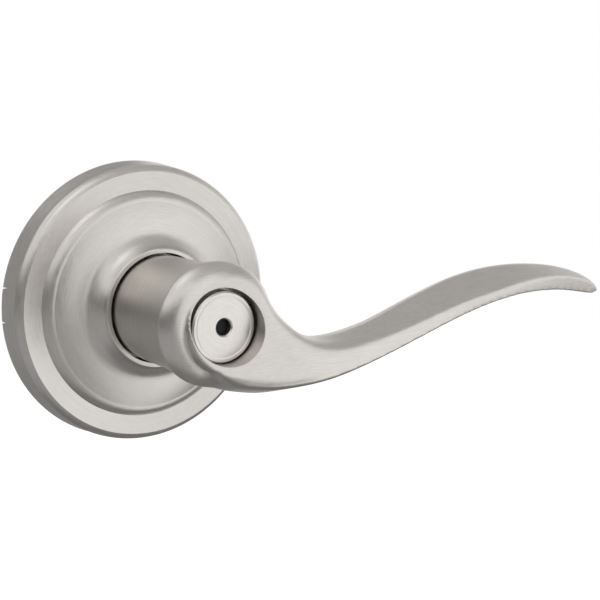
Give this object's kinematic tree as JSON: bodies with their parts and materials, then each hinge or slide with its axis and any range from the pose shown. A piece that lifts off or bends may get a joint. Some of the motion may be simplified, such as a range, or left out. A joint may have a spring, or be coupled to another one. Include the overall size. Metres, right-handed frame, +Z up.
{
  "type": "door lever handle",
  "caption": "Privacy door lever with a stepped round rose, a domed head holding a pin-release disc, and a curved tapering arm on a sprung spindle.",
  "frame": {"origin": "spindle axis at the door's face", "axes": "+Y into the door along the spindle, +X along the arm, +Z up"},
  "size_m": [0.1502, 0.0911, 0.0678],
  "materials": {
    "satin_nickel": "satin nickel plate, finely brushed",
    "zinc_plated_steel": "bright zinc plate",
    "plain_steel": "plain machined steel",
    "spring_steel": "oiled spring steel",
    "bronze": "sintered bronze",
    "die_cast_zinc": "bare die casting",
    "black_nylon": "moulded nylon"
  },
  "bodies": {
    "mount": {"rose": "satin_nickel", "mounting_plate": "zinc_plated_steel", "mounting_post_1": "zinc_plated_steel", "mounting_post_2": "zinc_plated_steel", "bearing_housing": "zinc_plated_steel", "housing_rivet_1": "zinc_plated_steel", "housing_rivet_2": "zinc_plated_steel", "housing_rivet_3": "zinc_plated_steel", "housing_rivet_4": "zinc_plated_steel", "bearing_bush": "bronze", "return_spring": "spring_steel", "rose_clip_1": "spring_steel", "rose_clip_2": "spring_steel", "rose_clip_3": "spring_steel"},
    "lever": {"lever": "satin_nickel", "spindle_hub": "plain_steel", "spring_driver": "zinc_plated_steel", "thrust_washer": "plain_steel", "cone_washer": "spring_steel", "retaining_ring": "spring_steel", "spindle_plug": "die_cast_zinc", "drive_spindle": "plain_steel", "spindle_pin": "plain_steel", "release_insert": "satin_nickel", "release_guide": "black_nylon", "plunger_spring": "spring_steel", "catch_spring": "spring_steel"},
    "plunger": {"release_plunger": "black_nylon"},
    "catch": {"lever_catch": "plain_steel"}
  },
  "joints": [
    {"name": "lever_turn", "type": "hinge", "parent": "mount", "child": "lever", "pos_m": [0, 0, 0], "axis": [0, 1, 0], "range_deg": [-50, 50], "stiffness_Nm_per_rad": 1.6, "springref_deg": -1.72, "deforming": ["return_spring"]},
    {"name": "release_push", "type": "slide", "parent": "lever", "child": "plunger", "axis": [0, 1, 0], "range_m": [0, 0.004], "stiffness_N_per_m": 400, "springref_m": -0.003, "deforming": ["plunger_spring"]},
    {"name": "catch_press", "type": "slide", "parent": "lever", "child": "catch", "axis": [0, 0, 1], "range_m": [0, 0.0026], "stiffness_N_per_m": 800, "springref_m": -0.002, "deforming": ["catch_spring"]}
  ]
}
